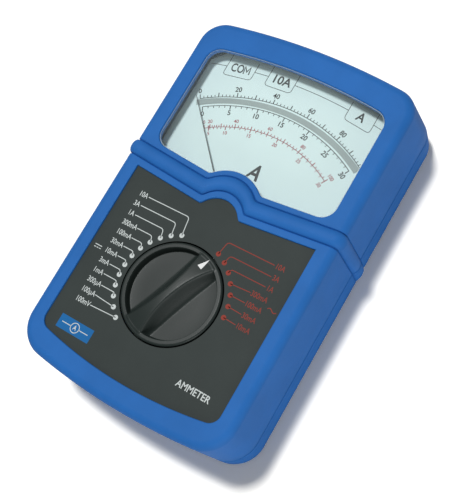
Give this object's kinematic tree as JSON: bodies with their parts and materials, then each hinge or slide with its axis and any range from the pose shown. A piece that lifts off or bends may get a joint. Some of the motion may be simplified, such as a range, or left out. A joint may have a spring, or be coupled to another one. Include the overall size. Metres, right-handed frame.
{
  "type": "analog panel meter",
  "caption": "Hand-held moving-coil ammeter with a mirrored dial under a clear window, a rotary range switch with a grip-bar knob, and shrouded lead sockets in the end face.",
  "frame": {"origin": "centre of the case outline on the bench, at the underside of the feet", "axes": "+Y along the length towards the lead sockets, +Z out of the dial, +X to the right as the dial is read"},
  "size_m": [0.1058, 0.1686, 0.0451],
  "materials": {
    "case_blue": "satin",
    "clear_plastic": "clear, polished",
    "dial_white": "matte",
    "mirror_strip": "polished",
    "panel_dark": "fine grained",
    "knob_dark": "fine grained",
    "black_plastic": "satin",
    "rotor_plastic": "satin",
    "rubber_black": "matte",
    "board_green": "satin",
    "brass": "satin",
    "steel": "satin",
    "iron": "ground",
    "magnet": "ground",
    "copper": "satin",
    "pointer_black": "black paint",
    "resistor_body": "satin",
    "fuse_body": "glazed"
  },
  "bodies": {
    "case": {"front_case": "case_blue", "rear_case": "case_blue", "window": "clear_plastic", "dial_plate": "dial_white", "mirror_arc": "mirror_strip", "switch_panel": "panel_dark", "detent_ring": "rotor_plastic", "circuit_board": "board_green", "contact_tracks": "brass", "board_screws": "steel", "movement_frame": "black_plastic", "frame_screws": "steel", "dial_screws": "brass", "pointer_stops": "brass", "yoke_ring": "iron", "core_magnet": "magnet", "core_spacers": "brass", "front_bridge": "brass", "rear_bridge": "brass", "front_jewel_screw": "brass", "rear_jewel_screw": "brass", "front_hairspring": "copper", "socket_com": "black_plastic", "socket_ten_amp": "black_plastic", "socket_amp": "black_plastic", "contact_com": "brass", "contact_ten_amp": "brass", "contact_amp": "brass", "com_strap": "copper", "ten_amp_strap": "copper", "amp_strap": "copper", "shunt_bar": "steel", "range_resistors": "resistor_body", "fuse_large": "fuse_body", "fuse_small": "fuse_body", "fuse_clips": "brass", "case_screws": "steel", "rubber_feet": "rubber_black"},
    "knob": {"selector_knob": "knob_dark", "switch_rotor": "rotor_plastic", "wiper_contacts": "brass", "rotor_screw": "steel", "detent_spring": "brass"},
    "pointer": {"pointer": "pointer_black", "balance_weights": "brass", "moving_coil": "copper", "pivot_staffs": "steel"},
    "zero_lever": {"zero_lever": "brass", "rear_hairspring": "copper"},
    "zero_adjuster": {"zero_adjuster": "black_plastic"}
  },
  "joints": [
    {"name": "range_select", "type": "hinge", "parent": "case", "child": "knob", "pos_m": [0, -0.0355, 0.04], "axis": [0, 0, 1], "range_deg": [-64.8, 162]},
    {"name": "pointer_swing", "type": "hinge", "parent": "case", "child": "pointer", "pos_m": [0, 0.0025, 0.0242], "axis": [0, 0, 1], "range_deg": [-89, 2], "stiffness_Nm_per_rad": 0.00001},
    {"name": "zero_adjust", "type": "hinge", "parent": "case", "child": "zero_adjuster", "pos_m": [0, -0.0105, 0.002], "axis": [0, 0, 1], "range_deg": [-40, 40]},
    {"name": "zero_lever_swing", "type": "hinge", "parent": "case", "child": "zero_lever", "pos_m": [0, 0.0025, 0.0118], "axis": [0, 0, 1], "range_deg": [-4, 4]}
  ],
  "couplings": [
    {"joint": "zero_lever_swing", "follows": "zero_adjust", "ratio": -0.096}
  ]
}
